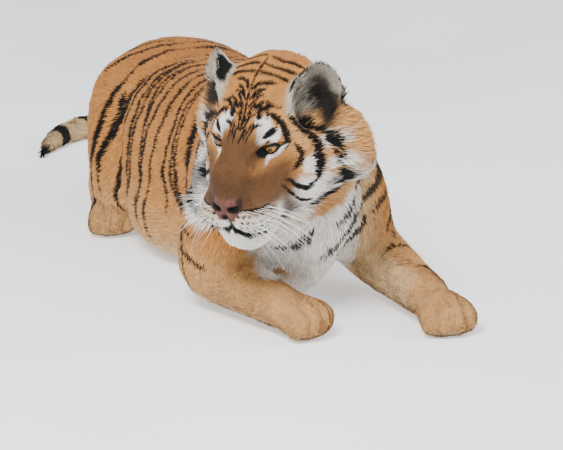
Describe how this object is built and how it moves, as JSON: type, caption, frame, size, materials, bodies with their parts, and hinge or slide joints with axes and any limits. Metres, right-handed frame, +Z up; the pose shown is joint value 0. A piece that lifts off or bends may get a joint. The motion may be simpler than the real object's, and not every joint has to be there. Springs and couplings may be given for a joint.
{
  "type": "siberian tiger",
  "caption": "Life-size Siberian tiger lying on its chest, forelegs stretched forward, head turned to its right and tail curled behind it.",
  "frame": {"origin": "centre of the animal's bounding box, at the level it rests on", "axes": "+Z up, -Y the way the chest faces, +X the animal's left side; the back runs along +Y"},
  "size_m": [0.5846, 2.0308, 0.5986],
  "materials": {
    "coat_orange": "medium-length winter fur, orange with dark stripes",
    "coat_pale": "pale fur of the chin and lower jaw",
    "coat_banded": "fur of the ears and the tail, banded dark and pale",
    "nose_leather": "bare, slightly moist nose skin",
    "eye_amber": "smooth and wet-looking"
  },
  "bodies": {
    "root": {"head": "coat_orange", "neck": "coat_orange", "chest": "coat_orange", "belly": "coat_orange", "rump": "coat_orange", "upper_arm_left": "coat_orange", "upper_arm_right": "coat_orange", "forearm_left": "coat_orange", "forearm_right": "coat_orange", "front_paw_left": "coat_orange", "front_paw_right": "coat_orange", "thigh_left": "coat_orange", "thigh_right": "coat_orange", "shank_left": "coat_orange", "shank_right": "coat_orange", "hind_foot_left": "coat_orange", "hind_foot_right": "coat_orange", "lower_jaw": "coat_pale", "ear_left": "coat_banded", "ear_right": "coat_banded", "tail_base": "coat_banded", "tail_middle": "coat_banded", "tail_tip": "coat_banded", "nose": "nose_leather", "eye_left": "eye_amber", "eye_right": "eye_amber"}
  },
  "joints": []
}
